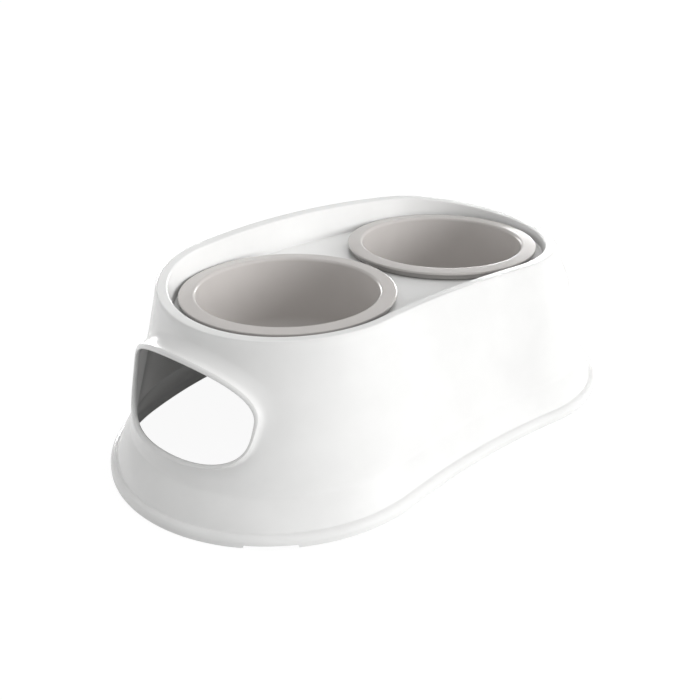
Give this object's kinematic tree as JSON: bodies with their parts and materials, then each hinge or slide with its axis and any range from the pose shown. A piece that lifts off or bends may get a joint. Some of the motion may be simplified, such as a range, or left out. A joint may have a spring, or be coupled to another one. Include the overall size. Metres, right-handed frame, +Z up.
{
  "type": "double pet bowl",
  "caption": "Raised oval stand with a sloped splash rim, a flared base and a hand hole in each end, holding a pair of round lift-out bowls side by side.",
  "frame": {"origin": "on the floor, at the middle of the base's length and width", "axes": "+X along the row of bowls, +Y to the back, where the rim is high, +Z up"},
  "size_m": [0.4696, 0.2842, 0.1462],
  "materials": {
    "stand_plastic": "satin, moulded white",
    "bowl_plastic": "satin, moulded warm grey",
    "foot_rubber": "matt, moulded"
  },
  "bodies": {
    "stand": {"stand": "stand_plastic", "foot_front_left": "foot_rubber", "foot_front_right": "foot_rubber", "foot_back_left": "foot_rubber", "foot_back_right": "foot_rubber"},
    "left_bowl": {"left_bowl": "bowl_plastic"},
    "right_bowl": {"right_bowl": "bowl_plastic"}
  },
  "joints": [
    {"name": "left_bowl_lift", "type": "slide", "parent": "stand", "child": "left_bowl", "axis": [0, 0, 1], "range_m": [0, 0.1]},
    {"name": "right_bowl_lift", "type": "slide", "parent": "stand", "child": "right_bowl", "axis": [0, 0, 1], "range_m": [0, 0.1]}
  ]
}
